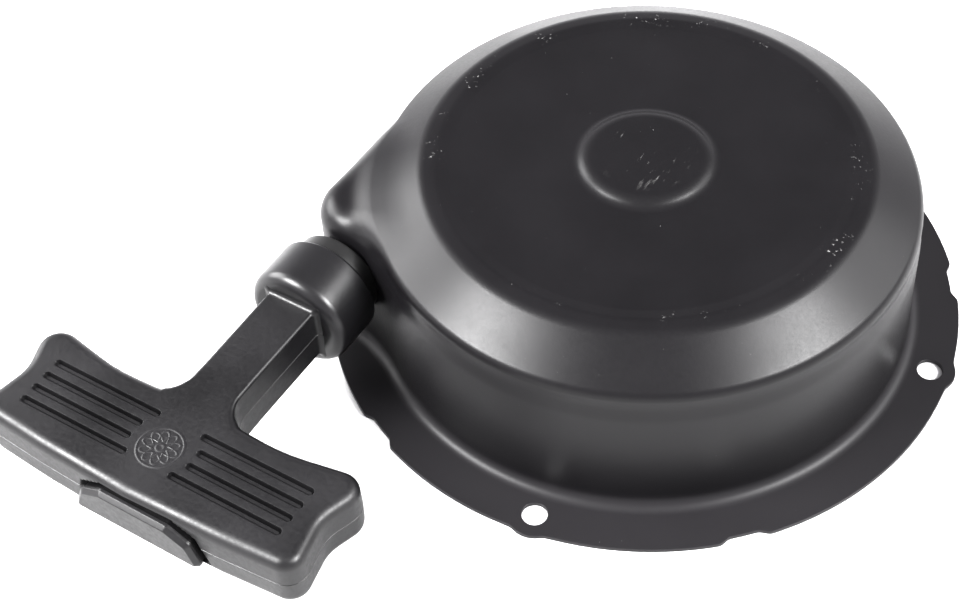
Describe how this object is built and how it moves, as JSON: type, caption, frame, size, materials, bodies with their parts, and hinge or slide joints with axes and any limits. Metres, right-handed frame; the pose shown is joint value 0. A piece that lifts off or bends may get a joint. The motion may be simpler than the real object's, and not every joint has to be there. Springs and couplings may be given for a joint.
{
  "type": "recoil starter",
  "caption": "Pull-rope starter for a small engine: pressed steel case with mounting flange, spring-returned rope drum, drive pawls and a T grip seated at a side rope outlet.",
  "frame": {"origin": "crank axis at the underside of the mounting flange", "axes": "+Z along the crank axis towards the closed end of the case; the rope is pulled out along -Y; the rope outlet is on the -X side"},
  "size_m": [0.206, 0.2419, 0.0559],
  "materials": {
    "case_paint": "satin black stove enamel on pressed steel",
    "machined_steel": "turned steel, lightly oiled",
    "zinc_steel": "bright zinc plate",
    "spring_steel": "blued spring steel",
    "guide_nylon": "moulded black nylon",
    "drum_nylon": "moulded glass-filled nylon",
    "rope_fibre": "braided starter rope",
    "grip_plastic": "satin moulded plastic"
  },
  "bodies": {
    "case": {"case": "case_paint", "center_post": "machined_steel", "rope_guide": "guide_nylon", "guide_clip": "spring_steel", "guide_eyelet": "machined_steel", "thrust_washer": "zinc_steel", "wave_washer": "spring_steel", "lock_washer": "zinc_steel", "post_nut": "zinc_steel"},
    "drum": {"drum": "drum_nylon", "recoil_spring": "spring_steel", "rope_coil": "rope_fibre", "drum_knot": "rope_fibre", "pawl_pins": "machined_steel", "pawl_springs": "spring_steel"},
    "drive_plate": {"drive_plate": "zinc_steel"},
    "pawl_a": {"pawl_a": "machined_steel"},
    "pawl_b": {"pawl_b": "machined_steel"},
    "handle": {"grip": "grip_plastic", "grip_cover": "grip_plastic", "knot_cup": "zinc_steel", "grip_knot": "rope_fibre", "rope_lead": "rope_fibre"}
  },
  "joints": [
    {"name": "drum_spin", "type": "hinge", "parent": "case", "child": "drum", "pos_m": [0, 0, 0.03], "axis": [0, 0, 1], "range_deg": [0, 1050], "stiffness_Nm_per_rad": 0.05, "springref_deg": -572.96, "deforming": ["recoil_spring"]},
    {"name": "handle_pull", "type": "slide", "parent": "case", "child": "handle", "axis": [0, -1, 0], "range_m": [0, 1.1], "deforming": ["rope_lead"]},
    {"name": "plate_turn", "type": "hinge", "parent": "drum", "child": "drive_plate", "pos_m": [0, 0, 0.0274], "axis": [0, 0, 1], "range_deg": [-40, 0], "stiffness_Nm_per_rad": 0.004, "springref_deg": 34.38},
    {"name": "pawl_a_swing", "type": "hinge", "parent": "drum", "child": "pawl_a", "pos_m": [0.026, 0, 0.032], "axis": [0, 0, 1], "range_deg": [-45, 0], "deforming": ["pawl_springs"]},
    {"name": "pawl_b_swing", "type": "hinge", "parent": "drum", "child": "pawl_b", "pos_m": [-0.026, 0, 0.032], "axis": [0, 0, 1], "range_deg": [-45, 0], "deforming": ["pawl_springs"]}
  ],
  "couplings": [
    {"joint": "handle_pull", "follows": "drum_spin", "m_per_rad": 0.0598},
    {"joint": "pawl_a_swing", "follows": "plate_turn", "ratio": 1.125},
    {"joint": "pawl_b_swing", "follows": "plate_turn", "ratio": 1.125}
  ]
}
